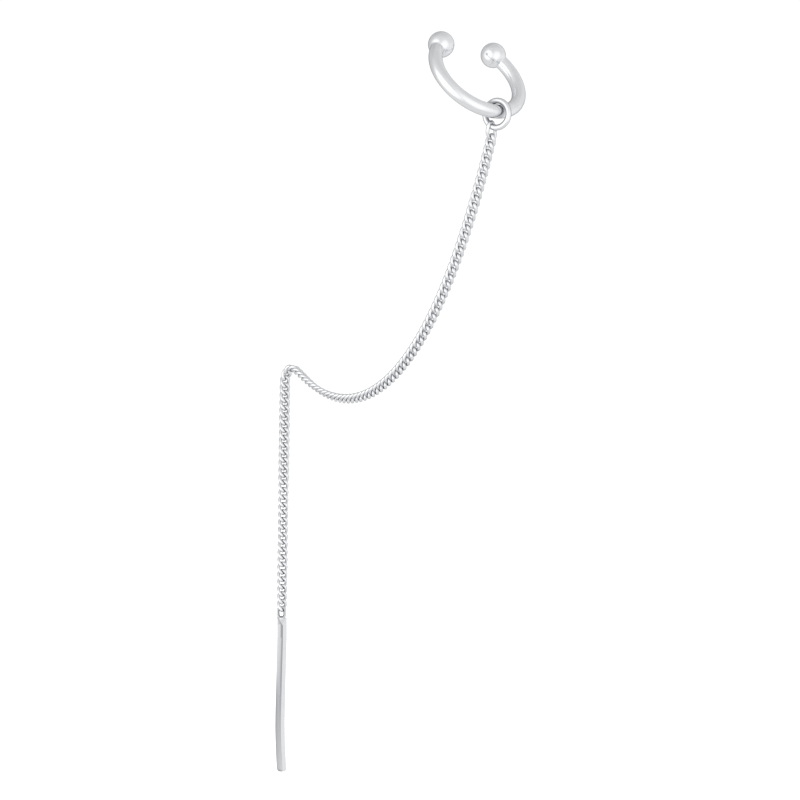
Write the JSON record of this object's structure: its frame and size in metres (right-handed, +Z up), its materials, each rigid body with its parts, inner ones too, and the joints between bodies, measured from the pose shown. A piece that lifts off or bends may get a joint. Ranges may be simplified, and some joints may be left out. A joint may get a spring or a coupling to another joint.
{
  "type": "ear chain earring",
  "caption": "Ear chain earring: an open ear cuff with ball ends, a jump ring, a curb chain that swags to the lobe and hangs, and a slim square bar on its end.",
  "frame": {"origin": "centre of the ear cuff's ring, where the ear's rim passes through it", "axes": "+Z up as the earring hangs, +X to the right and +Y away from the viewer as in the picture"},
  "size_m": [0.0301, 0.0412, 0.0886],
  "materials": {
    "cuff_silver": "polished silver",
    "ring_silver": "polished silver",
    "chain_silver": "polished silver",
    "bar_silver": "polished silver, slightly satin"
  },
  "bodies": {
    "cuff_and_chain": {"ear_cuff": "cuff_silver", "jump_ring": "ring_silver", "chain_swag": "chain_silver", "chain_drop": "chain_silver"},
    "bar": {"threader_bar": "bar_silver"}
  },
  "joints": [
    {"name": "bar_swing", "type": "hinge", "parent": "cuff_and_chain", "child": "bar", "pos_m": [-0.02369, 0.03549, -0.06338], "axis": [0, 1, 0], "range_deg": [-60, 60]}
  ]
}
